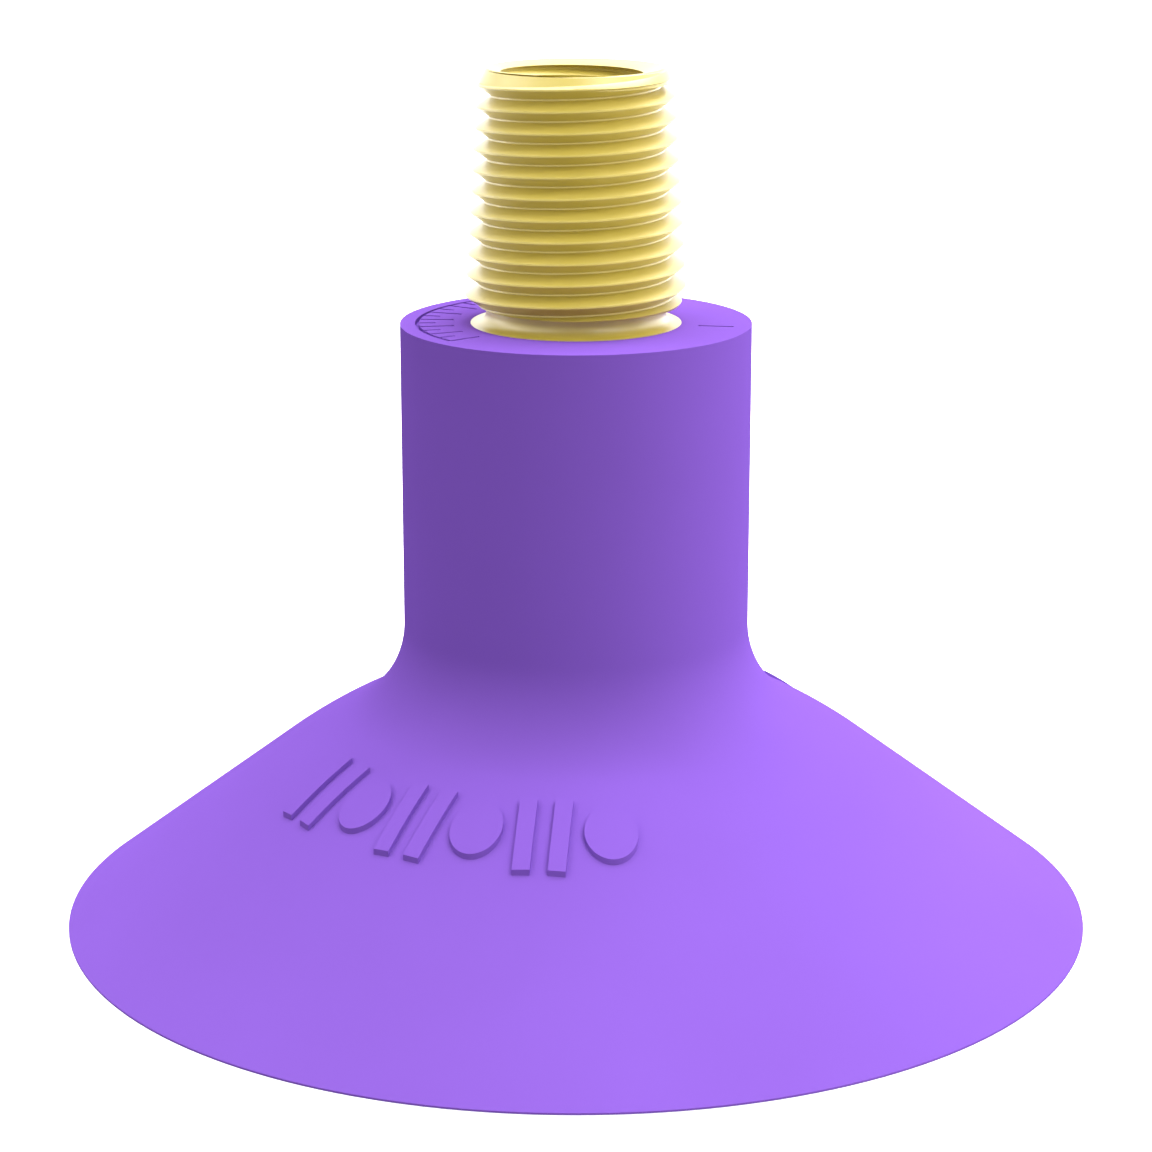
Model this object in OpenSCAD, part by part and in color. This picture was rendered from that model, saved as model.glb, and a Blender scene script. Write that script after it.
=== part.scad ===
// Vacuum suction cup: a soft cup moulded round a barbed brass fitting.
// +Z is the cup's axis, pointing away from the work. The origin is the centre of the lip's plane.

/* [Lip and skirt] */
// Diameter of the sealing lip
lip_d = 68; // [66:0.5:72]
// Height of the blunt edge round the lip
lip_edge = 0.12; // [0.1:0.01:0.2]
// Width of the flat ring that touches the work
lip_land = 0.25; // [0.2:0.05:0.4]
// Slope of the skirt's inner face, in degrees from flat
inner_slope = 30; // [29:0.5:31]
// Height of the roof inside the cup
roof_z = 11.5; // [11:0.1:12]

/* [Neck and shoulder] */
// Diameter of the neck
neck_d = 22.7; // [22:0.1:24]
// Height of the neck's top face above the lip
neck_top = 39.8; // [39.5:0.1:44]
// Height at which the neck starts to flare
flare_z = 19.9; // [19.5:0.1:20.2]
// Radius of the hollow curve between neck and shoulder
flare_r = 7; // [6.5:0.1:7.5]
// Slope where the shoulder starts, in degrees from flat
shoulder_slope = 26.5; // [25:0.5:28]
// Slope where the shoulder meets the straight skirt
skirt_slope = 37.4; // [36.5:0.1:38]
// Radius of the shoulder's outward curve
shoulder_r = 33.5; // [32:0.5:35]
// Radius of the air passage through the roof
passage_r = 5.5; // [5:0.1:5.8]

/* [Flex lines] */
// Top of the sealing lip
lip_top = 1; // [0.8:0.1:1.2]
// Bottom of the ring between the two flexing bands of the skirt
ring_bottom = 3.6; // [3.2:0.1:3.8]
// Top of that ring
ring_top = 4.4; // [4.2:0.1:4.8]
// Bottom of the stiff shoulder
shoulder_bottom = 9.6; // [9.2:0.1:9.8]

/* [External taper thread, 1/4 inch pipe] */
// Distance from crest to crest
thread_pitch = 1.337; // [1.3:0.001:1.4]
// Depth from crest to root
thread_depth = 0.856; // [0.8:0.001:0.9]
// Diameter of the crests at the gauge plane
gauge_d = 13.157; // [13:0.001:13.3]
// Distance from the fitting's end to the gauge plane
gauge_length = 6; // [5:0.1:7]
// Growth of the diameter for each unit of length
taper = 0.129; // [0.0625:0.0005:0.13]
// Width of the flat on each crest and in each root
crest_flat = 0.1; // [0.05:0.01:0.25]
// Length of the thread from the fitting's end
thread_length = 15.1; // [14:0.1:15.1]
// Distance from the fitting's end to the uppermost crest
first_crest_depth = 0.78; // [0.7:0.01:0.8]
// Height of the chamfer at the thread's start
end_chamfer = 0.8; // [0.6:0.1:1]

/* [Fitting] */
// Height of the fitting's upper end above the lip
fitting_top = 56.1; // [56:0.1:60]
// Height of the fitting's lower end
fitting_bottom = 17; // [16.5:0.1:17.5]
// Diameter of the plain relief below the thread
relief_d = 11.6; // [11:0.1:11.8]
// Diameter of the flange in the neck's top face
flange_d = 13.6; // [13.4:0.1:14]
// Thickness of the flange
flange_h = 1.4; // [1:0.1:2]
// Radius of the curve between relief and flange
flange_fillet = 0.75; // [0.3:0.05:1]
// Diameter of the shank inside the neck
shank_d = 12.4; // [12.2:0.1:12.8]
// Chamfer at the shank's lower end
shank_chamfer = 0.4; // [0.2:0.1:0.6]
// Diameter of the barbs
barb_d = 14.8; // [14:0.1:15.5]
// Number of barbs
barb_count = 4; // [2:1:4]
// Distance from barb to barb
barb_pitch = 4.6; // [4:0.1:4.8]
// Length of a barb's taper
barb_length = 3.2; // [2.8:0.1:3.6]
// Distance from the fitting's lower end to the flat side of the lowest barb
barb_start = 5.1; // [4.6:0.1:5.4]

/* [Port, 1/8 inch pipe] */
// Diameter of the port's thread at its crests
port_d = 8.566; // [8.5:0.001:8.7]
// Depth of the port's threaded bore below its chamfer
port_length = 9.6; // [8:0.1:10]
// Diameter of the chamfer at the port's mouth
mouth_d = 11.1; // [10:0.1:11.2]
// Depth of that chamfer
mouth_chamfer = 0.4; // [0.2:0.05:0.6]
// Width of the flat rim round the mouth
mouth_rim = 0.1; // [0.05:0.05:0.2]
// Width across the flats of the hexagonal socket
hex_flats = 7; // [6:0.5:7]
// Depth of the hexagonal socket
hex_depth = 5; // [4:0.5:6]
// Diameter of the air bore below the socket
air_d = 6; // [5:0.5:6]

/* [Filter] */
// Diameter of the counterbore that holds the filter
filter_seat_d = 10.4; // [10:0.1:10.6]
// Depth of that counterbore
filter_seat_depth = 3; // [2.8:0.1:3.5]
// Height of the filter's frame
frame_h = 1.5; // [1.3:0.1:1.6]
// Diameter of the opening in the frame
frame_bore = 8.4; // [8:0.1:8.6]
// Diameter of one wire of the mesh
wire_d = 0.25; // [0.2:0.05:0.3]
// Distance from wire to wire
wire_pitch = 0.8; // [0.7:0.05:1]
// Diameter of the groove for the snap ring
snap_groove_d = 11.1; // [11:0.1:11.2]
// Diameter of the snap ring's wire
snap_wire_d = 0.9; // [0.8:0.05:1]
// Gap in the snap ring, in degrees
snap_gap = 34; // [20:1:50]

/* [Moulded marks] */
// Number of raised marks in each of the two rows
mark_count = 6; // [4:1:6]
// Angle between neighbouring marks
mark_step = 12.6; // [12:0.2:14]
// Direction of the middle of the front row, in degrees from +X
mark_front = 245; // [235:1:255]
// Direction of the middle of the back row
mark_back = 75; // [55:1:85]
// Distance from the axis to the inner edge of the marks
mark_inner_r = 16.8; // [16.5:0.1:17]
// Length of the marks, seen from above
mark_length = 4.5; // [4:0.1:4.6]
// Width of a mark
mark_width = 3.3; // [3:0.1:3.4]
// Height by which the marks stand out
mark_height = 0.3; // [0.2:0.05:0.4]
// Width of an engraved line on the neck's top face
line_width = 0.25; // [0.15:0.01:0.25]
// Depth of the engraved lines
line_depth = 0.3; // [0.15:0.05:0.3]
// Distance from the axis to the engraved scale's outer line
scale_r = 10.25; // [10:0.05:10.4]
// Number of ticks on the scale
scale_ticks = 13; // [9:2:15]
// Angle between neighbouring ticks
scale_step = 7.5; // [6:0.5:8]
// Direction of the middle of the scale
scale_middle = 175; // [165:1:185]
// Length of the scale's longer ticks
long_tick = 2.3; // [2:0.1:2.4]
// Length of the scale's shorter ticks
short_tick = 1.2; // [0.8:0.1:1.6]
// Direction of the one tick that stands apart from the scale
lone_tick_direction = -10; // [-20:1:0]

/* [Hidden] */
$fn = 96;

soft = "#8b5fd0";
brass = "#d8bf5e";
steel = "#b9bdc2";

eps = 0.01;
arc_steps = 12;
fillet_steps = 8;
lip_r = lip_d / 2;
neck_r = neck_d / 2;

// Where the hollow curve ends and the shoulder's outward curve starts
flare_end = [
    neck_r + flare_r * (1 - sin(shoulder_slope)),
    flare_z - flare_r * cos(shoulder_slope)
];
// Centre of the shoulder's outward curve
shoulder_centre = flare_end - shoulder_r * [sin(shoulder_slope), cos(shoulder_slope)];
// Distance from the axis at which the inner face meets the roof
roof_r = lip_r - lip_land - roof_z / tan(inner_slope);

// Heights inside the fitting, from the top down
port_top = fitting_top - mouth_chamfer;
port_bottom = port_top - port_length;
hex_bottom = port_bottom - hex_depth;
filter_seat = fitting_bottom + filter_seat_depth;
flange_bottom = neck_top - flange_h;
thread_bottom = fitting_top - thread_length;
frame_bottom = filter_seat - frame_h;
snap_z = frame_bottom - snap_wire_d / 2;
mesh_z = filter_seat - frame_h / 2;

// Height of the uppermost crest, and the number of crests
first_crest = fitting_top - first_crest_depth;
thread_turns = floor(thread_length / thread_pitch);

// Radius of the thread's crests at height z
function crest_r(z) = gauge_d / 2 + (fitting_top - gauge_length - z) * taper / 2;

function reversed(list) = [for (i = [len(list) - 1:-1:0]) list[i]];

// Points of an arc round centre c, from angle a0 to a1, measured from +X
function arc(c, r, a0, a1, steps) =
    [for (i = [0:steps]) c + r * [cos(a0 + (a1 - a0) * i / steps), sin(a0 + (a1 - a0) * i / steps)]];

// Outer face of the cup, from the neck's top edge down to the lip, moved out by d
function outer_face(d) = concat(
    [[neck_r + d, neck_top]],
    arc([neck_r + flare_r, flare_z], flare_r - d, 180, 270 - shoulder_slope, arc_steps),
    arc(shoulder_centre, shoulder_r + d, 90 - shoulder_slope, 90 - skirt_slope, arc_steps),
    [[lip_r + d, lip_edge + d]]
);

// Inner face of the cup, from the lip up to the top of the air passage
function inner_face() = [
    [lip_r, 0],
    [lip_r - lip_land, 0],
    [roof_r, roof_z],
    [passage_r, roof_z],
    [passage_r, fitting_bottom]
];

// Half section of the cup below the fitting's lower end, with a solid core above
module cup_section() {
    polygon(concat(outer_face(0), inner_face(), [[0, fitting_bottom], [0, neck_top]]));
}

// The part of the cup between two heights
module cup_band(bottom, top) {
    rotate_extrude()
        intersection() {
            cup_section();
            translate([0, bottom]) square([lip_d, top - bottom]);
        }
}

// Half outline of one barb that tapers downwards, with its flat side at height top
function barb(top) = [[shank_d / 2, top - barb_length], [barb_d / 2, top], [shank_d / 2, top]];

// Outside of the shank and the flange, from the bottom up
function shank_face() = concat(
    [
        [0, fitting_bottom],
        [shank_d / 2 - shank_chamfer, fitting_bottom],
        [shank_d / 2, fitting_bottom + shank_chamfer]
    ],
    [for (i = [0:barb_count - 1]) each barb(fitting_bottom + barb_start + i * barb_pitch)],
    [[shank_d / 2, flange_bottom], [flange_d / 2, flange_bottom]]
);

// Flange edge, curve and relief, up to the thread
function relief_face() = concat(
    [[flange_d / 2, neck_top]],
    arc([relief_d / 2 + flange_fillet, neck_top + flange_fillet], flange_fillet, 270, 180, fillet_steps),
    [[relief_d / 2, thread_bottom]]
);

// Lower half of one ring of the thread: root, lower flank and crest, then the next root
function thread_ring(z) = let (r = crest_r(z), half = crest_flat / 2)
    [
        [r - thread_depth, z - thread_pitch / 2 - half],
        [r - thread_depth, z - thread_pitch / 2 + half],
        [r, z - half],
        [r, z + half]
    ];

function thread_face() =
    [for (i = [thread_turns - 1:-1:0]) each thread_ring(first_crest - i * thread_pitch)];

// Chamfered envelope that the thread is turned in
module thread_envelope() {
    rotate_extrude()
        polygon([
            [0, thread_bottom],
            [crest_r(thread_bottom), thread_bottom],
            [crest_r(fitting_top - end_chamfer), fitting_top - end_chamfer],
            [mouth_d / 2 + mouth_rim, fitting_top],
            [0, fitting_top]
        ]);
}

// The thread as a stack of rings, with its uppermost flank kept full for the chamfer
module thread_core() {
    rotate_extrude()
        polygon(concat(
            [[0, thread_bottom], [relief_d / 2, thread_bottom]],
            thread_face(),
            [[crest_r(fitting_top), fitting_top], [0, fitting_top]]
        ));
}

// Outside of the fitting below its thread. The neck is moulded round this shape.
module fitting_plug() {
    rotate_extrude() polygon(concat(shank_face(), relief_face(), [[0, thread_bottom]]));
}

module fitting_bores() {
    translate([0, 0, port_top - eps])
        cylinder(h = mouth_chamfer + 2 * eps, d1 = port_d, d2 = mouth_d);
    translate([0, 0, port_bottom]) cylinder(h = port_length, d = port_d);
    translate([0, 0, hex_bottom]) cylinder(h = hex_depth + eps, d = hex_flats / cos(30), $fn = 6);
    translate([0, 0, filter_seat - eps]) cylinder(h = hex_bottom - filter_seat + 2 * eps, d = air_d);
    translate([0, 0, fitting_bottom - eps]) cylinder(h = filter_seat_depth + eps, d = filter_seat_d);
    snap_groove();
}

// Ring cut in the counterbore's wall for the snap ring
module snap_groove() {
    translate([0, 0, frame_bottom - snap_wire_d])
        cylinder(h = snap_wire_d, d = snap_groove_d);
}

// Double bar or disc, lying along +X, at the places where a mark stands
module mark_outline(index) {
    bar = mark_width / 3;
    if (index % 2 == 0)
        for (side = [-1, 1])
            translate([mark_inner_r, side * bar - bar / 2]) square([mark_length, bar]);
    else
        translate([mark_inner_r + mark_length / 2, 0]) circle(d = mark_width);
}

module mark_row(middle) {
    for (i = [0:mark_count - 1])
        rotate(middle + (i - (mark_count - 1) / 2) * mark_step)
            linear_extrude(height = flare_z) mark_outline(i);
}

// The cup's outer face thickened by the height of the marks
module mark_skin() {
    rotate_extrude()
        polygon(concat(outer_face(mark_height), reversed(outer_face(0))));
}

// Arc-shaped line with ticks pointing inwards, and one tick apart from the rest
module engraved_scale() {
    span = (scale_ticks - 1) * scale_step;
    translate([0, 0, neck_top - line_depth]) linear_extrude(height = 2 * line_depth) {
        for (i = [0:scale_ticks - 1])
            rotate(scale_middle - span / 2 + i * scale_step)
                scale_tick(i % 2 == 0 ? long_tick : short_tick);
        rotate(lone_tick_direction) scale_tick(long_tick);
        intersection() {
            difference() {
                circle(r = scale_r + line_width / 2);
                circle(r = scale_r - line_width / 2);
            }
            polygon(concat([[0, 0]],
                arc([0, 0], neck_d, scale_middle - span / 2, scale_middle + span / 2, arc_steps)));
        }
    }
}

module scale_tick(length) {
    translate([scale_r - length, -line_width / 2]) square([length, line_width]);
}

module cup_neck() {
    color(soft)
        difference() {
            cup_band(fitting_bottom, neck_top);
            fitting_plug();
            engraved_scale();
        }
}

module cup_shoulder() {
    color(soft) cup_band(shoulder_bottom, fitting_bottom);
}

module upper_skirt() {
    color(soft) cup_band(ring_top, shoulder_bottom);
}

module flex_ring() {
    color(soft) cup_band(ring_bottom, ring_top);
}

module lower_skirt() {
    color(soft) cup_band(lip_top, ring_bottom);
}

module sealing_lip() {
    color(soft) cup_band(0, lip_top);
}

module raised_marks() {
    color(soft)
        intersection() {
            mark_skin();
            union() {
                mark_row(mark_front);
                mark_row(mark_back);
            }
        }
}

module fitting() {
    color(brass)
        difference() {
            union() {
                intersection() {
                    thread_core();
                    thread_envelope();
                }
                fitting_plug();
            }
            fitting_bores();
        }
}

module filter_frame() {
    color(brass)
        translate([0, 0, frame_bottom])
            difference() {
                cylinder(h = frame_h, d = filter_seat_d);
                translate([0, 0, -eps]) cylinder(h = frame_h + 2 * eps, d = frame_bore);
            }
}

// Parallel wires across the frame's opening, at height z, turned by a
module mesh_wires(z, a) {
    reach = frame_bore / 2;
    rows = floor((reach - wire_d) / wire_pitch);
    color(steel)
        for (i = [-rows:rows])
            rotate(a) translate([0, i * wire_pitch, z]) rotate([0, 90, 0])
                cylinder(h = 2 * sqrt(reach * reach - pow(abs(i) * wire_pitch + wire_d / 2, 2)),
                    d = wire_d, center = true, $fn = 16);
}

module mesh_warp() {
    mesh_wires(mesh_z + wire_d / 2 + eps, 0);
}

module mesh_weft() {
    mesh_wires(mesh_z - wire_d / 2 - eps, 90);
}

module snap_ring() {
    color(steel)
        translate([0, 0, snap_z]) rotate(90 + snap_gap / 2)
            rotate_extrude(angle = 360 - snap_gap)
                translate([(snap_groove_d - snap_wire_d) / 2, 0])
                    circle(d = snap_wire_d - 2 * eps, $fn = 32);
}

cup_neck();
cup_shoulder();
upper_skirt();
flex_ring();
lower_skirt();
sealing_lip();
raised_marks();
fitting();
filter_frame();
mesh_warp();
mesh_weft();
snap_ring();
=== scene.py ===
"""Vacuum suction cup: a purple polyurethane moulding on a threaded brass fitting with a mesh filter.

The CAD model is the frame. Every piece here is built in its millimetres and scaled to metres.
"""

import math

import bmesh
import bpy
from mathutils import Matrix, Vector


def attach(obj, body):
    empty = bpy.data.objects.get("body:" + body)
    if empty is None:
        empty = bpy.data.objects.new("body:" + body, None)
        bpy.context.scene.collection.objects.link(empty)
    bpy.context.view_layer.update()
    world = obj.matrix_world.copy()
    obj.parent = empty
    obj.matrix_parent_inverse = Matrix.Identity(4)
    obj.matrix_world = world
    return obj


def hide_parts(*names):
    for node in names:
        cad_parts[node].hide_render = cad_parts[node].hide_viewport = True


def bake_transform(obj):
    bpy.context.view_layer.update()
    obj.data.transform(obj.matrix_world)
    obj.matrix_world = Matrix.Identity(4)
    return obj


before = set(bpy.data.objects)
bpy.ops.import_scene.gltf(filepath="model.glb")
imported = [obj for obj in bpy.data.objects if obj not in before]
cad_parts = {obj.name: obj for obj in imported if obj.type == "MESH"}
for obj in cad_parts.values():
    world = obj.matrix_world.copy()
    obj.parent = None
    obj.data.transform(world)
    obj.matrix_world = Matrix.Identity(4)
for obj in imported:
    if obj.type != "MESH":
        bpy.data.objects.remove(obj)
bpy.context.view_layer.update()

# Metres in a millimetre. Every length below is in millimetres, up to the studio's.
MM = 0.001

# How finely the meshes are made
SEGMENTS = 192
THREAD_STEPS = 120
ARC_STEPS = 20
ROUND_STEPS = 5
FILLET_STEPS = 10
CURVE_STEPS = 48
WELD = 0.001
SHARP_ANGLE = math.radians(28)

# The cup's outer and inner faces, in millimetres
LIP_R = 34.0
LIP_EDGE = 0.12
LIP_LAND = 0.25
INNER_SLOPE = math.radians(30)
ROOF_Z = 11.5
PASSAGE_R = 5.5
PASSAGE_ROUND = 0.6
ROOF_ROUND = 1.5
NECK_R = 11.35
NECK_TOP = 39.8
FLARE_Z = 19.9
FLARE_R = 7.0
SHOULDER_SLOPE = math.radians(26.5)
SKIRT_SLOPE = math.radians(37.4)
SHOULDER_R = 33.5
ROUNDED_OFF = 3

# Height at which the moulding is divided, and the spacing of points along its straight faces
SEAM_Z = 4.0
BAND_STEP = 0.35

# The fitting
FITTING_TOP = 56.1
FITTING_BOTTOM = 17.0
THREAD_PITCH = 1.337
THREAD_DEPTH = 0.856
THREAD_FLAT = 0.1
THREAD_BOTTOM = 41.0
FIRST_CREST = 55.32
GAUGE_R = 13.157 / 2
GAUGE_Z = 50.1
TAPER = 0.0645
END_CHAMFER = 0.8
CREST_CLEARANCE = 0.05
RIM_R = 5.65
RUN_OUT = 0.7
RUN_OUT_R = 6.65
COLLAR_LOW_R = 6.15
COLLAR_HIGH_R = 5.72
COLLAR_BOTTOM = 55.2
COLLAR_TOP = 56.0
RELIEF_R = 5.8
FLANGE_R = 6.8
FLANGE_BOTTOM = 38.4
FLANGE_FILLET = 0.75
SHANK_R = 6.2
SHANK_CHAMFER = 0.4
BARB_R = 7.4
BARB_COUNT = 4
BARB_PITCH = 4.6
BARB_LENGTH = 3.2
BARB_START = 5.1

# The port, the socket and the bore below them
MOUTH_R = 5.55
MOUTH_CHAMFER = 0.4
PORT_R = 4.283
PORT_LENGTH = 9.6
PORT_TOP = FITTING_TOP - MOUTH_CHAMFER
PORT_BOTTOM = PORT_TOP - PORT_LENGTH
PORT_PITCH = 0.907
PORT_OVERLAP = 0.1
PORT_BLIND_TURNS = 3
PORT_GROOVE_R = 4.864
PORT_FLAT = 0.13
PORT_GROOVE_Z = 55.75
HEX_FLATS = 7.0
HEX_DEPTH = 5.0
HEX_OVER = 0.5
BORE_OVER = 1.0
AIR_R = 3.0
SEAT_R = 5.2
SEAT_DEPTH = 3.0
SEAT_Z = FITTING_BOTTOM + SEAT_DEPTH
GROOVE_R = 5.55

# The filter and its snap ring
FRAME_H = 1.5
FRAME_BORE_R = 4.2
FRAME_CHAMFER = 0.2
WIRE_R = 0.125
WIRE_PITCH = 0.8
WIRE_END = 0.1
WIRE_SIDES = 12
WEAVE = 0.13
WEAVE_STEPS = 8
SNAP_WIRE_R = 0.44
SNAP_PLAY = 0.01
SNAP_GAP = math.radians(34)
SNAP_SIDES = 20
SNAP_STEPS = 96
CAP_STEPS = 6

# Moulded marks
MARK_COUNT = 6
MARK_STEP = math.radians(12.6)
MARK_ROWS = (math.radians(245), math.radians(75))
MARK_INNER_R = 16.8
MARK_LENGTH = 4.5
MARK_WIDTH = 3.3
MARK_HEIGHT = 0.3
MARK_SINK = 0.05
SKIN_MARGIN = 0.5
SKIN_STEP = 0.25
SKIN_POINTS = 24
LINE_WIDTH = 0.25
LINE_DEPTH = 0.3
SCALE_R = 10.25
SCALE_TICKS = 13
SCALE_STEP = math.radians(7.5)
SCALE_MIDDLE = math.radians(175)
LONG_TICK = 2.3
SHORT_TICK = 1.2
LONE_TICK = math.radians(-10)

# Colours, each as the two ends of a slight mottling
PURPLE = ((0.174, 0.078, 0.412), (0.182, 0.082, 0.434))
BRASS = ((0.43, 0.333, 0.035), (0.46, 0.358, 0.05))
WIRE_GREY = (0.62, 0.63, 0.65)
SPRING_GREY = (0.40, 0.41, 0.43)
GREY_MOTTLE = 0.8


# ---------------------------------------------------------------- mesh building


def polar(r, angle, z=0.0):
    """The point at radius r and angle from +X, at height z."""
    return Vector((r * math.cos(angle), r * math.sin(angle), z))


def solid(name, points, faces):
    """A mesh object from points in millimetres."""
    mesh = bpy.data.meshes.new(name)
    mesh.from_pydata([Vector(p) * MM for p in points], [], faces)
    mesh.validate()
    piece = bpy.data.objects.new(name, mesh)
    bpy.context.scene.collection.objects.link(piece)
    return piece


def lathe(name, outline, segments=SEGMENTS):
    """Revolves a closed outline of (r, z) points. It runs anticlockwise, and r 0 is on the axis."""
    points, rings = [], []
    for r, z in outline:
        count = segments if r > 0 else 1
        first = len(points)
        points += [polar(r, 2 * math.pi * j / segments, z) for j in range(count)]
        rings.append([first + j % count for j in range(segments + 1)])
    faces = []
    for low, high in zip(rings, rings[1:] + rings[:1]):
        for j in range(segments):
            corners = [low[j], low[j + 1], high[j + 1], high[j]]
            face = list(dict.fromkeys(corners))
            if len(face) > 2:
                faces.append(face)
    return solid(name, points, faces)


def screw(name, pitch, corners, crest_z, radius, bottom, top, steps=THREAD_STEPS):
    """A right-hand screw that covers at least bottom to top.

    corners are (dz, depth) points of one turn, upwards, measured from a crest. crest_z is the height
    of a crest at angle 0, and radius gives the crests' radius at a height.
    """
    first_turn = math.floor((bottom - crest_z) / pitch) - 1
    turns = math.ceil((top - bottom) / pitch) + 3
    count = len(corners)
    points = []
    for i in range(turns * steps + 1):
        angle = 2 * math.pi * i / steps
        z = crest_z + pitch * (first_turn + i / steps)
        points += [polar(radius(z + dz) - depth, angle, z + dz) for dz, depth in corners]
    last = turns * steps
    faces = []
    for i in range(last):
        for m in range(count - 1):
            a, b = i * count + m, (i + 1) * count + m
            faces.append([a, b, b + 1, a + 1])
    for i in range(last - steps):
        a, b = i * count + count - 1, (i + 1) * count + count - 1
        faces.append([a, b, (i + 1 + steps) * count, (i + steps) * count])
    low_ring = [i * count for i in range(steps + 1)] + list(range(count - 1, 0, -1))
    high_ring = [i * count + count - 1 for i in range(last - steps, last + 1)]
    high_ring += list(range(last * count + count - 2, last * count - 1, -1))
    beyond = 4 * pitch
    ends = ((low_ring, bottom - beyond, True), (high_ring, top + beyond, False))
    for ring, apex, turned in ends:
        points.append(Vector((0, 0, apex)))
        tip = len(points) - 1
        for a, b in zip(ring, ring[1:] + ring[:1]):
            faces.append([tip, b, a] if turned else [tip, a, b])
    return solid(name, points, faces)


def prism(outline, bottom, top):
    """Points and faces of an upright prism over a closed outline of (x, y) points, anticlockwise."""
    count = len(outline)
    points = [(x, y, z) for z in (bottom, top) for x, y in outline]
    faces = [list(range(count - 1, -1, -1)), list(range(count, 2 * count))]
    for i in range(count):
        j = (i + 1) % count
        faces.append([i, j, count + j, count + i])
    return points, faces


def gathered(name, parts):
    """One mesh object from several (points, faces) pairs."""
    points, faces = [], []
    for part_points, part_faces in parts:
        start = len(points)
        points += part_points
        faces += [[start + k for k in face] for face in part_faces]
    return solid(name, points, faces)


def weld(mesh):
    """Merges the points that a boolean leaves almost on top of each other."""
    edited = bmesh.new()
    edited.from_mesh(mesh)
    bmesh.ops.remove_doubles(edited, verts=edited.verts, dist=WELD * MM)
    bmesh.ops.dissolve_degenerate(edited, edges=edited.edges, dist=WELD * MM)
    edited.to_mesh(mesh)
    edited.free()


def carve(piece, tool, operation):
    """Applies a boolean of tool to piece, and removes tool."""
    modifier = piece.modifiers.new("carve", "BOOLEAN")
    modifier.operation = operation
    modifier.solver = "EXACT"
    modifier.object = tool
    graph = bpy.context.evaluated_depsgraph_get()
    result = bpy.data.meshes.new_from_object(piece.evaluated_get(graph))
    weld(result)
    piece.modifiers.clear()
    piece.data = result
    bpy.data.objects.remove(tool)
    return piece


def tube(path, radii, sides):
    """Points and faces of a closed round bar along path, which never runs vertically."""
    count = len(path)
    points, faces = [], []
    for i, (centre, radius) in enumerate(zip(path, radii)):
        ahead = (path[min(i + 1, count - 1)] - path[max(i - 1, 0)]).normalized()
        side = ahead.cross(Vector((0, 0, 1))).normalized()
        up = side.cross(ahead)
        for k in range(sides):
            angle = 2 * math.pi * k / sides
            points.append(centre + (side * math.cos(angle) + up * math.sin(angle)) * radius)
    for i in range(count - 1):
        for k in range(sides):
            a, b = i * sides + k, i * sides + (k + 1) % sides
            faces.append([a, b, b + sides, a + sides])
    faces.append(list(range(sides - 1, -1, -1)))
    faces.append(list(range((count - 1) * sides, count * sides)))
    return points, faces


def arc(centre, radius, start, end, steps=ARC_STEPS):
    """(r, z) points of an arc round centre, with angles from +r."""
    angles = [start + (end - start) * i / steps for i in range(steps + 1)]
    return [(centre[0] + radius * math.cos(a), centre[1] + radius * math.sin(a)) for a in angles]


def straight(start, end, step=BAND_STEP):
    """Points from start up to, but not including, end, about a step apart."""
    count = max(1, round(math.dist(start, end) / step))
    return [
        (start[0] + (end[0] - start[0]) * i / count, start[1] + (end[1] - start[1]) * i / count)
        for i in range(count)
    ]


def rounded(before, corner, after, radius):
    """Replaces a corner between two straight lines by an arc of that radius."""
    corner = Vector(corner)
    back = (Vector(before) - corner).normalized()
    ahead = (Vector(after) - corner).normalized()
    half = back.angle(ahead) / 2
    centre = corner + (back + ahead).normalized() * radius / math.sin(half)
    reach = radius / math.tan(half)
    first, last = corner + back * reach - centre, corner + ahead * reach - centre
    steps = [i / ROUND_STEPS for i in range(ROUND_STEPS + 1)]
    return [tuple(centre + first.slerp(last, step).normalized() * radius) for step in steps]


# ---------------------------------------------------------------- the moulding


def flare_end():
    """Where the hollow curve below the neck meets the shoulder."""
    return (
        NECK_R + FLARE_R * (1 - math.sin(SHOULDER_SLOPE)),
        FLARE_Z - FLARE_R * math.cos(SHOULDER_SLOPE),
    )


def shoulder_centre():
    """Centre of the shoulder's curve, which starts where the hollow one ends."""
    r, z = flare_end()
    return r - SHOULDER_R * math.sin(SHOULDER_SLOPE), z - SHOULDER_R * math.cos(SHOULDER_SLOPE)


def skirt_top():
    """Where the shoulder's curve ends and the straight skirt begins."""
    r, z = shoulder_centre()
    return r + SHOULDER_R * math.sin(SKIRT_SLOPE), z + SHOULDER_R * math.cos(SKIRT_SLOPE)


def outer_r(z):
    """Radius of the straight part of the skirt's outer face."""
    r, top = skirt_top()
    return LIP_R + (r - LIP_R) * (z - LIP_EDGE) / (top - LIP_EDGE)


def inner_r(z):
    """Radius of the cup's sloping inner face."""
    return LIP_R - LIP_LAND - z / math.tan(INNER_SLOPE)


def barbed_shank():
    """(r, z) points of the shank's outside, from the fitting's lower end up to the flange."""
    points = [(SHANK_R - SHANK_CHAMFER, FITTING_BOTTOM), (SHANK_R, FITTING_BOTTOM + SHANK_CHAMFER)]
    for i in range(BARB_COUNT):
        top = FITTING_BOTTOM + BARB_START + i * BARB_PITCH
        points += [(SHANK_R, top - BARB_LENGTH), (BARB_R, top), (SHANK_R, top)]
    return points + [(SHANK_R, FLANGE_BOTTOM), (FLANGE_R, FLANGE_BOTTOM)]


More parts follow.
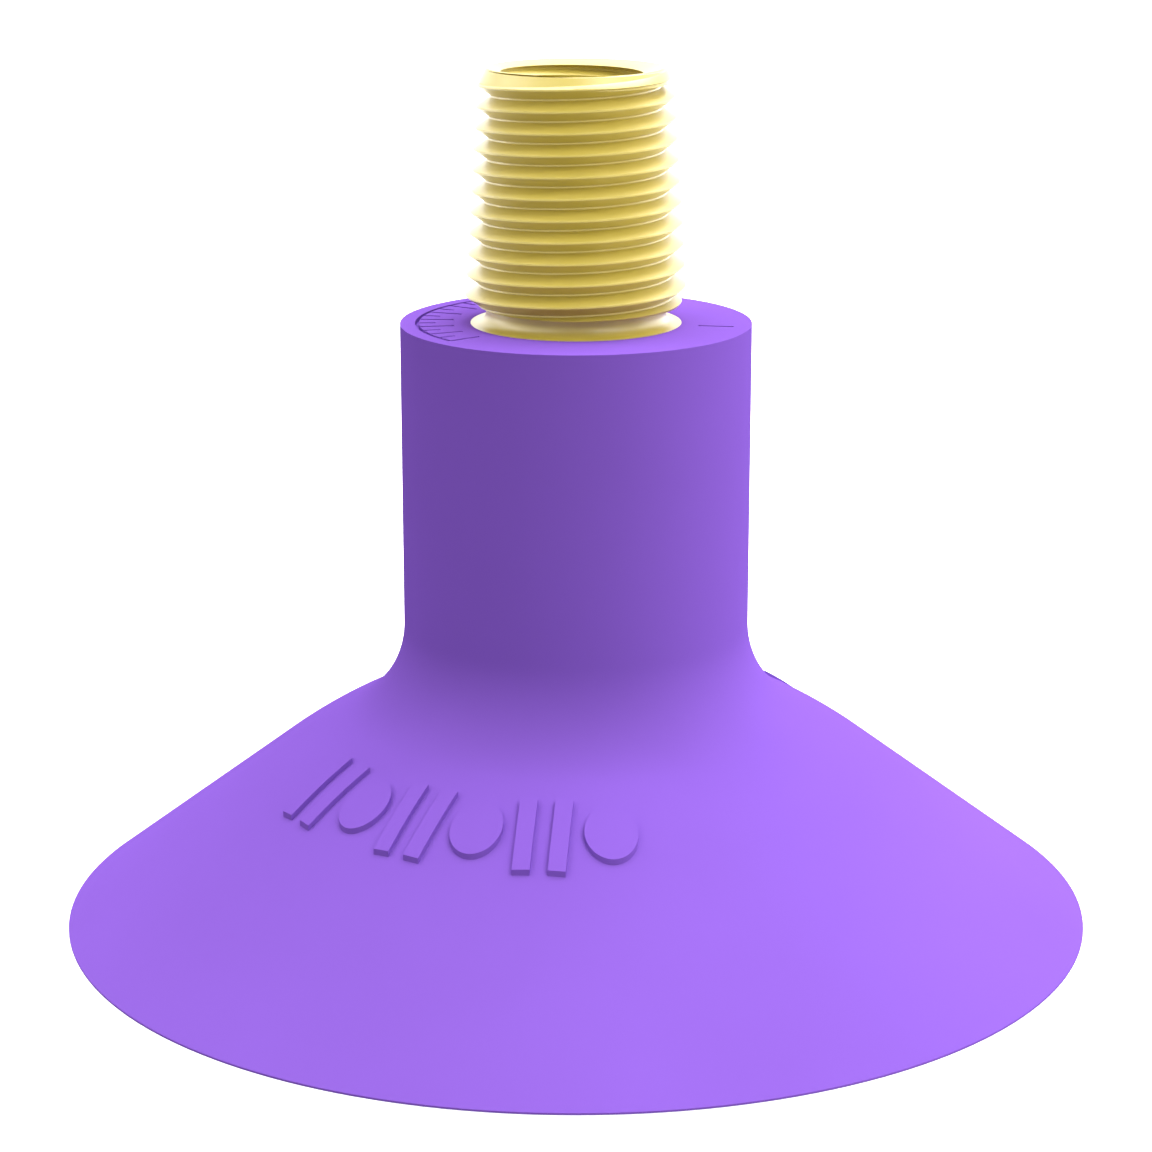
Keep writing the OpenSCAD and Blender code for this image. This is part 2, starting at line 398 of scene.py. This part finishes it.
def body_outline():
    """Section of the moulding above the seam, anticlockwise from the seam's outer edge.

    The roof's rounding stands in for the first points of the sloping face below it.
    """
    shoulder_start, shoulder_end = math.pi / 2 - SKIRT_SLOPE, math.pi / 2 - SHOULDER_SLOPE
    shoulder = arc(shoulder_centre(), SHOULDER_R, shoulder_start, shoulder_end)
    flare = arc((NECK_R + FLARE_R, FLARE_Z), FLARE_R, 1.5 * math.pi - SHOULDER_SLOPE, math.pi)
    roof = (inner_r(ROOF_Z), ROOF_Z)
    passage = (PASSAGE_R, ROOF_Z)
    seam = (inner_r(SEAM_Z), SEAM_Z)
    return (
        straight((outer_r(SEAM_Z), SEAM_Z), skirt_top())
        + shoulder
        + flare[1:]
        + [(NECK_R, NECK_TOP), (FLANGE_R, NECK_TOP)]
        + barbed_shank()[::-1]
        + [(PASSAGE_R, FITTING_BOTTOM)]
        + rounded((PASSAGE_R, FITTING_BOTTOM), passage, roof, PASSAGE_ROUND)
        + rounded(passage, roof, seam, ROOF_ROUND)
        + straight(roof, seam)[ROUNDED_OFF:]
        + [seam]
    )


def lip_outline():
    """Section of the moulding below the seam."""
    return (
        [(LIP_R - LIP_LAND, 0.0), (LIP_R, 0.0)]
        + straight((LIP_R, LIP_EDGE), (outer_r(SEAM_Z), SEAM_Z))
        + [(outer_r(SEAM_Z), SEAM_Z)]
        + straight((inner_r(SEAM_Z), SEAM_Z), (inner_r(0.0), 0.0))
    )


def tick(angle, length):
    """A short line cut into the neck's top face, running inwards from the scale's radius."""
    out, side = polar(1, angle), polar(LINE_WIDTH / 2, angle + math.pi / 2)
    corners = [
        out * SCALE_R - side,
        out * SCALE_R + side,
        out * (SCALE_R - length) + side,
        out * (SCALE_R - length) - side,
    ]
    return prism([(c.x, c.y) for c in corners], NECK_TOP - LINE_DEPTH, NECK_TOP + LINE_DEPTH)


def scale_tools():
    """The ticks, and the curved line that joins them, as two tools for the neck's top face."""
    half = (SCALE_TICKS - 1) / 2
    ticks = [
        tick(SCALE_MIDDLE + (i - half) * SCALE_STEP, SHORT_TICK if i % 2 else LONG_TICK)
        for i in range(SCALE_TICKS)
    ]
    ticks.append(tick(LONE_TICK, LONG_TICK))
    start, end = SCALE_MIDDLE - half * SCALE_STEP, SCALE_MIDDLE + half * SCALE_STEP
    outside = arc((0, 0), SCALE_R + LINE_WIDTH / 2, start, end, CURVE_STEPS)
    inside = arc((0, 0), SCALE_R - LINE_WIDTH / 2, end, start, CURVE_STEPS)
    line = prism(outside + inside, NECK_TOP - LINE_DEPTH, NECK_TOP + LINE_DEPTH)
    return gathered("ticks", ticks), gathered("line", [line])


def make_cup_body():
    """The moulding above the seam, with the scale cut into its top face."""
    body = lathe("cup_body", body_outline())
    for tool in scale_tools():
        carve(body, tool, "DIFFERENCE")
    return body


def shoulder_z(r, lift):
    """Height of the shoulder's or skirt's outer face, moved out by lift, at radius r."""
    centre_r, centre_z = shoulder_centre()
    radius = SHOULDER_R + lift
    if r - centre_r < radius * math.sin(SKIRT_SLOPE):
        return centre_z + math.sqrt(radius**2 - (r - centre_r) ** 2)
    top_r, top_z = skirt_top()
    slope = (top_z - LIP_EDGE) / (LIP_R - top_r)
    return top_z - (r - top_r) * slope + lift * math.hypot(1, slope)


def mark_outlines(number):
    """Outlines of one mark as it lies on +X: a disc where its number is odd, and else two bars."""
    if number % 2:
        centre = (MARK_INNER_R + MARK_LENGTH / 2, 0)
        return [arc(centre, MARK_WIDTH / 2, 0, 2 * math.pi, CURVE_STEPS)[:-1]]
    bar = MARK_WIDTH / 3
    start, end = MARK_INNER_R, MARK_INNER_R + MARK_LENGTH
    return [
        [(start, low), (end, low), (end, low + bar), (start, low + bar)]
        for low in (-1.5 * bar, 0.5 * bar)
    ]


def mark_tools():
    """Upright prisms at the places of the marks."""
    tools = []
    for middle in MARK_ROWS:
        for i in range(MARK_COUNT):
            angle = middle + (i - (MARK_COUNT - 1) / 2) * MARK_STEP
            turn = Matrix.Rotation(angle, 3, "Z")
            for outline in mark_outlines(i):
                corners = [turn @ Vector((x, y, 0)) for x, y in outline]
                tools.append(prism([(c.x, c.y) for c in corners], SEAM_Z, FLARE_Z))
    return gathered("raised_signs", tools)


def make_marks():
    """The marks, as the prisms cut down to a skin that lies on the shoulder."""
    radii = [MARK_INNER_R - SKIN_MARGIN + i * SKIN_STEP for i in range(SKIN_POINTS)]
    outside = [(r, shoulder_z(r, MARK_HEIGHT)) for r in radii]
    inside = [(r, shoulder_z(r, -MARK_SINK)) for r in radii]
    skin = lathe("skin", inside + outside[::-1])
    return carve(mark_tools(), skin, "INTERSECT")


# ---------------------------------------------------------------- the fitting


def crest_r(z):
    """Radius of the outer thread's crests at height z."""
    return GAUGE_R + (GAUGE_Z - z) * TAPER


def thread_corners(pitch, depth, flat):
    """(dz, depth) of one turn: root edge, crest edges, next root edge."""
    return [
        (flat / 2 - pitch / 2, depth),
        (-flat / 2, 0.0),
        (flat / 2, 0.0),
        (pitch / 2 - flat / 2, depth),
    ]


def thread_envelope():
    """What the thread is trimmed by: its two chamfers, and a cone just clear of its crests."""
    below_chamfer = FITTING_TOP - END_CHAMFER
    above_run_out = THREAD_BOTTOM + RUN_OUT
    return lathe(
        "envelope",
        [
            (0.0, THREAD_BOTTOM),
            (RUN_OUT_R, THREAD_BOTTOM),
            (crest_r(above_run_out) + CREST_CLEARANCE, above_run_out),
            (crest_r(below_chamfer) + CREST_CLEARANCE, below_chamfer),
            (RIM_R, FITTING_TOP),
            (0.0, FITTING_TOP),
        ],
        THREAD_STEPS,
    )


def shank_and_relief():
    """Everything below the thread, with a core that reaches up into it."""
    fillet_centre = (RELIEF_R + FLANGE_FILLET, NECK_TOP + FLANGE_FILLET)
    fillet = arc(fillet_centre, FLANGE_FILLET, 1.5 * math.pi, math.pi, FILLET_STEPS)
    core_top = THREAD_BOTTOM + THREAD_PITCH
    return lathe(
        "shank",
        [(0.0, FITTING_BOTTOM)]
        + barbed_shank()
        + [(FLANGE_R, NECK_TOP)]
        + fillet
        + [(RELIEF_R, core_top), (0.0, core_top)],
        THREAD_STEPS,
    )


def collar():
    """Fills the thread's last groove, so that the rim round the port stays whole."""
    return lathe(
        "collar",
        [
            (0.0, COLLAR_BOTTOM),
            (COLLAR_LOW_R, COLLAR_BOTTOM),
            (COLLAR_HIGH_R, COLLAR_TOP),
            (0.0, COLLAR_TOP),
        ],
        THREAD_STEPS,
    )


def bore_tool():
    """The round bores from end to end, with the port's chamfer and the snap ring's groove."""
    groove_top = SEAT_Z - FRAME_H
    groove_bottom = groove_top - 2 * (SNAP_WIRE_R + SNAP_PLAY)
    widening = (MOUTH_R - PORT_R) / MOUTH_CHAMFER
    return lathe(
        "bore",
        [
            (0.0, FITTING_BOTTOM - BORE_OVER),
            (SEAT_R, FITTING_BOTTOM - BORE_OVER),
            (SEAT_R, groove_bottom),
            (GROOVE_R, groove_bottom),
            (GROOVE_R, groove_top),
            (SEAT_R, groove_top),
            (SEAT_R, SEAT_Z),
            (AIR_R, SEAT_Z),
            (AIR_R, PORT_BOTTOM),
            (PORT_R, PORT_BOTTOM),
            (PORT_R, PORT_TOP),
            (MOUTH_R + BORE_OVER * widening, FITTING_TOP + BORE_OVER),
            (0.0, FITTING_TOP + BORE_OVER),
        ],
        THREAD_STEPS,
    )


def socket_tool():
    """The hexagon socket below the port, a little longer so that it opens into it."""
    hexagon = [polar(HEX_FLATS / math.sqrt(3), math.pi / 3 * k) for k in range(6)]
    socket = prism([(p.x, p.y) for p in hexagon], PORT_BOTTOM - HEX_DEPTH, PORT_BOTTOM + HEX_OVER)
    return gathered("socket", [socket])


def port_thread_tool():
    """The port's thread, as the screw that it is cut with. Its roots lie inside the bore."""
    half_flank = (PORT_PITCH / 2 - PORT_FLAT) / (PORT_GROOVE_R - PORT_R)
    depth = PORT_GROOVE_R - PORT_R + PORT_OVERLAP
    root_flat = PORT_FLAT - 2 * PORT_OVERLAP * half_flank
    corners = [
        (root_flat / 2 - PORT_PITCH / 2, depth),
        (-PORT_FLAT / 2, 0.0),
        (PORT_FLAT / 2, 0.0),
        (PORT_PITCH / 2 - root_flat / 2, depth),
    ]
    groove_at_zero = PORT_GROOVE_Z - PORT_PITCH / 2
    return screw(
        "port_screw",
        PORT_PITCH,
        corners,
        groove_at_zero,
        lambda z: PORT_GROOVE_R,
        PORT_BOTTOM + PORT_BLIND_TURNS * PORT_PITCH,
        FITTING_TOP,
    )


def make_fitting():
    """The thread, joined to the shank and relief, and then bored, broached and tapped."""
    crest_at_zero = FIRST_CREST + THREAD_PITCH / 4
    fitting = screw(
        "brass_fitting",
        THREAD_PITCH,
        thread_corners(THREAD_PITCH, THREAD_DEPTH, THREAD_FLAT),
        crest_at_zero,
        crest_r,
        THREAD_BOTTOM - THREAD_PITCH,
        FITTING_TOP + THREAD_PITCH,
    )
    carve(fitting, thread_envelope(), "INTERSECT")
    carve(fitting, collar(), "UNION")
    carve(fitting, shank_and_relief(), "UNION")
    carve(fitting, bore_tool(), "DIFFERENCE")
    carve(fitting, socket_tool(), "DIFFERENCE")
    carve(fitting, port_thread_tool(), "DIFFERENCE")
    return fitting


# ---------------------------------------------------------------- the filter


def make_filter_frame():
    """The ring that holds the mesh against the seat."""
    bottom = SEAT_Z - FRAME_H
    return lathe(
        "filter_ring",
        [
            (FRAME_BORE_R + FRAME_CHAMFER, bottom),
            (SEAT_R, bottom),
            (SEAT_R, SEAT_Z),
            (FRAME_BORE_R, SEAT_Z),
            (FRAME_BORE_R, bottom + FRAME_CHAMFER),
        ],
    )


def woven_wires(name, turn, phase):
    """One set of the woven wires, each waving over and under the other set."""
    wires = []
    rows = int((FRAME_BORE_R - 2 * WIRE_R) / WIRE_PITCH)
    middle = SEAT_Z - FRAME_H / 2
    for row in range(-rows, rows + 1):
        across = row * WIRE_PITCH
        reach = math.sqrt((FRAME_BORE_R + WIRE_END) ** 2 - across**2)
        steps = 2 * round(reach / WIRE_PITCH * WEAVE_STEPS)
        path = []
        for i in range(steps + 1):
            along = -reach + 2 * reach * i / steps
            wave = WEAVE * math.cos(math.pi * (along / WIRE_PITCH + row + phase))
            path.append(turn @ Vector((along, across, middle + wave)))
        wires.append(tube(path, [WIRE_R] * len(path), WIRE_SIDES))
    return gathered(name, wires)


def make_snap_ring():
    """A round-wire ring with rounded ends either side of its gap."""
    ring_r = GROOVE_R - SNAP_WIRE_R - SNAP_PLAY
    height = SEAT_Z - FRAME_H - SNAP_WIRE_R - SNAP_PLAY
    start, end = math.pi / 2 + SNAP_GAP / 2, 2.5 * math.pi - SNAP_GAP / 2
    length = (end - start) * ring_r
    quarters = [math.pi / 2 * k / CAP_STEPS for k in range(1, CAP_STEPS + 1)]
    cap = [SNAP_WIRE_R * (1 - math.cos(angle)) for angle in quarters]
    straight_length = length - 2 * SNAP_WIRE_R
    body = [SNAP_WIRE_R + straight_length * i / SNAP_STEPS for i in range(1, SNAP_STEPS)]
    places = cap + body + [length - d for d in reversed(cap)]
    path, radii = [], []
    for place in places:
        inset = min(place, length - place, SNAP_WIRE_R)
        path.append(polar(ring_r, start + place / ring_r, height))
        radii.append(math.sqrt(SNAP_WIRE_R**2 - (SNAP_WIRE_R - inset) ** 2))
    return gathered("retaining_ring", [tube(path, radii, SNAP_SIDES)])


# ---------------------------------------------------------------- materials


def new_material(name, roughness, metallic):
    """A material, its node tree and its shader."""
    material = bpy.data.materials.new(name)
    material.use_nodes = True
    shader = material.node_tree.nodes["Principled BSDF"]
    shader.inputs["Roughness"].default_value = roughness
    shader.inputs["Metallic"].default_value = metallic
    return material, material.node_tree, shader


def noise(tree, scale):
    """Noise in the piece's own coordinates, with about scale lumps to the metre."""
    coordinates = tree.nodes.new("ShaderNodeTexCoord")
    texture = tree.nodes.new("ShaderNodeTexNoise")
    texture.inputs["Scale"].default_value = scale
    texture.inputs["Detail"].default_value = 3.0
    tree.links.new(coordinates.outputs["Object"], texture.inputs["Vector"])
    return texture.outputs["Fac"]


def ramp(tree, factor, low, high):
    """A colour that goes from low to high over the middle of the noise's range."""
    node = tree.nodes.new("ShaderNodeValToRGB")
    for stop, place, colour in zip(node.color_ramp.elements, (0.3, 0.7), (low, high)):
        stop.position = place
        stop.color = (*colour, 1)
    tree.links.new(factor, node.inputs["Fac"])
    return node.outputs["Color"]


def bump(tree, shader, height, strength, distance):
    """Roughens the shader's surface by height."""
    node = tree.nodes.new("ShaderNodeBump")
    node.inputs["Strength"].default_value = strength
    node.inputs["Distance"].default_value = distance
    tree.links.new(height, node.inputs["Height"])
    tree.links.new(node.outputs["Normal"], shader.inputs["Normal"])


def make_polyurethane():
    """Matt, with no specular, so that the white surround doesn't pale it."""
    material, tree, shader = new_material("moulded_polyurethane", 0.55, 0.0)
    colour = ramp(tree, noise(tree, 60), *PURPLE)
    tree.links.new(colour, shader.inputs["Base Color"])
    shader.inputs["Specular IOR Level"].default_value = 0.0
    bump(tree, shader, noise(tree, 3000), 0.1, 0.00002)
    return material


def make_brass():
    """A yellow ground under a clear coat that reflects the surround at its edges."""
    material, tree, shader = new_material("turned_brass", 0.5, 0.0)
    colour = ramp(tree, noise(tree, 400), *BRASS)
    tree.links.new(colour, shader.inputs["Base Color"])
    shader.inputs["Coat Weight"].default_value = 1.0
    shader.inputs["Coat IOR"].default_value = 1.4
    shader.inputs["Coat Roughness"].default_value = 0.3
    bump(tree, shader, noise(tree, 4000), 0.1, 0.00001)
    return material


def make_steel(name, colour, roughness):
    """Bare steel that is mottled between colour and a darker grey."""
    material, tree, shader = new_material(name, roughness, 1.0)
    dark = tuple(c * GREY_MOTTLE for c in colour)
    tree.links.new(ramp(tree, noise(tree, 900), dark, colour), shader.inputs["Base Color"])
    bump(tree, shader, noise(tree, 5000), 0.15, 0.00001)
    return material


# ---------------------------------------------------------------- pieces


def finished(piece, material):
    """Smooth shading with sharp edges, and one material."""
    mesh = piece.data
    mesh.shade_smooth()
    mesh.set_sharp_from_angle(angle=SHARP_ANGLE)
    mesh.materials.clear()
    mesh.materials.append(material)
    return piece


polyurethane = make_polyurethane()
brass = make_brass()
wire_steel = make_steel("wire_steel", WIRE_GREY, 0.3)
spring_steel = make_steel("spring_steel", SPRING_GREY, 0.38)

cup_body = finished(make_cup_body(), polyurethane)
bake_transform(cup_body)
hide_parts("cup_neck", "cup_shoulder", "upper_skirt")

cup_lip = finished(lathe("cup_lip", lip_outline()), polyurethane)
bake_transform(cup_lip)
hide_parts("flex_ring", "lower_skirt", "sealing_lip")

signs = finished(make_marks(), polyurethane)
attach(signs, "neck")
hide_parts("raised_marks")

fitting = finished(make_fitting(), brass)
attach(fitting, "neck")
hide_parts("fitting")

filter_ring = finished(make_filter_frame(), brass)
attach(filter_ring, "neck")
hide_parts("filter_frame")

warp = finished(woven_wires("woven_warp", Matrix.Identity(3), 0), wire_steel)
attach(warp, "neck")
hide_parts("mesh_warp")

quarter_turn = Matrix.Rotation(math.pi / 2, 3, "Z")
weft = finished(woven_wires("woven_weft", quarter_turn, 1), wire_steel)
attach(weft, "neck")
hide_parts("mesh_weft")

retaining_ring = finished(make_snap_ring(), spring_steel)
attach(retaining_ring, "neck")
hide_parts("snap_ring")


# ---------------------------------------------------------------- studio

# Lengths in metres
FLOOR_Z = -0.00005
FLOOR_SIZE = 4.0
FLOOR_GLOW = 0.6
SURROUND_R = 3.0
SURROUND_GLOW = 2.0
SURROUND_SEGMENTS = 48
SURROUND_STEP = 10
STAGE_WHITE = 0.8
AMBIENT = 0.04
CAMERA_LENS = 96.859
CAMERA_PLACE = (0, -0.19732, 0.07616)
CAMERA_DIP = 0.2641
CAMERA_CLIP = (0.01, 50.0)
LIGHT_AIM = 0.025
LIGHT_DISTANCE = 1.2
LIGHT_SIZE = 0.9

# Each softbox's name, azimuth and elevation in degrees, width and power
SOFTBOXES = (
    ("top", 0, 90, LIGHT_SIZE, 3.2),
    ("back_right", 45, 62, LIGHT_SIZE, 17.2),
    ("back_left", 135, 62, LIGHT_SIZE, 8.4),
    ("front_right_high", 315, 62, LIGHT_SIZE, 7.2),
    ("front_right", 315, 35, LIGHT_SIZE, 7.4),
    ("front_left", 225, 35, LIGHT_SIZE, 3.0),
    ("right", 0, 35, LIGHT_SIZE, 2.4),
    ("left", 180, 35, LIGHT_SIZE, 6.4),
    ("rim_right", 22, 8, LIGHT_SIZE, 5.2),
    ("rim_back", 55, 5, 0.6, 2.4),
    ("rim_left", 160, 5, 0.6, 2.8),
    ("below", 0, -90, LIGHT_SIZE, 6.0),
    ("low_right", 0, -25, LIGHT_SIZE, 6.2),
    ("low_front_right", 300, -25, LIGHT_SIZE, 4.0),
    ("low_front_left", 240, -25, LIGHT_SIZE, 2.6),
)


def make_camera():
    """In front of the cup and a little above it."""
    camera = bpy.data.objects.new("camera", bpy.data.cameras.new("camera"))
    camera.data.lens = CAMERA_LENS
    camera.data.sensor_width = 36.0
    camera.data.clip_start, camera.data.clip_end = CAMERA_CLIP
    camera.location = CAMERA_PLACE
    camera.rotation_euler = (math.pi / 2 - CAMERA_DIP, 0, 0)
    bpy.context.scene.collection.objects.link(camera)
    bpy.context.scene.camera = camera


def make_world():
    """A faint white light from everywhere."""
    world = bpy.data.worlds.new("studio")
    bpy.context.scene.world = world
    world.use_nodes = True
    background = world.node_tree.nodes["Background"]
    background.inputs["Color"].default_value = (1, 1, 1, 1)
    background.inputs["Strength"].default_value = AMBIENT


def make_lights():
    """Round softboxes that face the middle of the cup."""
    aim = Vector((0, 0, LIGHT_AIM))
    for name, azimuth, elevation, size, power in SOFTBOXES:
        light = bpy.data.lights.new(name, "AREA")
        light.shape = "DISK"
        light.size = size
        light.energy = power
        lamp = bpy.data.objects.new(name, light)
        bpy.context.scene.collection.objects.link(lamp)
        a, e = math.radians(azimuth), math.radians(elevation)
        towards = Vector((math.cos(a) * math.cos(e), math.sin(a) * math.cos(e), math.sin(e)))
        lamp.location = aim + towards * LIGHT_DISTANCE
        lamp.rotation_euler = towards.to_track_quat("Z", "Y").to_euler()
        lamp.visible_camera = False


def stage_material(name, glow):
    """White, and clear when seen from behind, so that the underside shows in a view from below."""
    material, tree, shader = new_material(name, 0.8, 0.0)
    shader.inputs["Base Color"].default_value = (STAGE_WHITE, STAGE_WHITE, STAGE_WHITE, 1)
    shader.inputs["Emission Color"].default_value = (1, 1, 1, 1)
    shader.inputs["Emission Strength"].default_value = glow
    geometry = tree.nodes.new("ShaderNodeNewGeometry")
    clear = tree.nodes.new("ShaderNodeBsdfTransparent")
    mix = tree.nodes.new("ShaderNodeMixShader")
    tree.links.new(geometry.outputs["Backfacing"], mix.inputs[0])
    tree.links.new(shader.outputs[0], mix.inputs[1])
    tree.links.new(clear.outputs[0], mix.inputs[2])
    tree.links.new(mix.outputs[0], tree.nodes["Material Output"].inputs["Surface"])
    return material


def make_stage():
    """A plain white floor, and a white surround behind everything."""
    half = FLOOR_SIZE / 2 / MM
    corners = [(-half, -half), (half, -half), (half, half), (-half, half)]
    floor = solid("floor", [(x, y, FLOOR_Z / MM) for x, y in corners], [(0, 1, 2, 3)])
    floor.data.materials.append(stage_material("floor", FLOOR_GLOW))
    radius = SURROUND_R / MM
    heights = [math.radians(a) for a in range(SURROUND_STEP - 90, 90, SURROUND_STEP)]
    ball = [(radius * math.cos(a), radius * math.sin(a)) for a in heights]
    surround = lathe("surround", [(0.0, -radius)] + ball + [(0.0, radius)], SURROUND_SEGMENTS)
    surround.data.flip_normals()
    surround.data.materials.append(stage_material("surround", SURROUND_GLOW))
    for piece in (floor, surround):
        for kind in ("diffuse", "glossy", "transmission", "shadow"):
            setattr(piece, "visible_" + kind, False)
    surround.visible_glossy = True


make_camera()
make_world()
make_lights()
make_stage()
bpy.context.scene.view_settings.view_transform = "Standard"
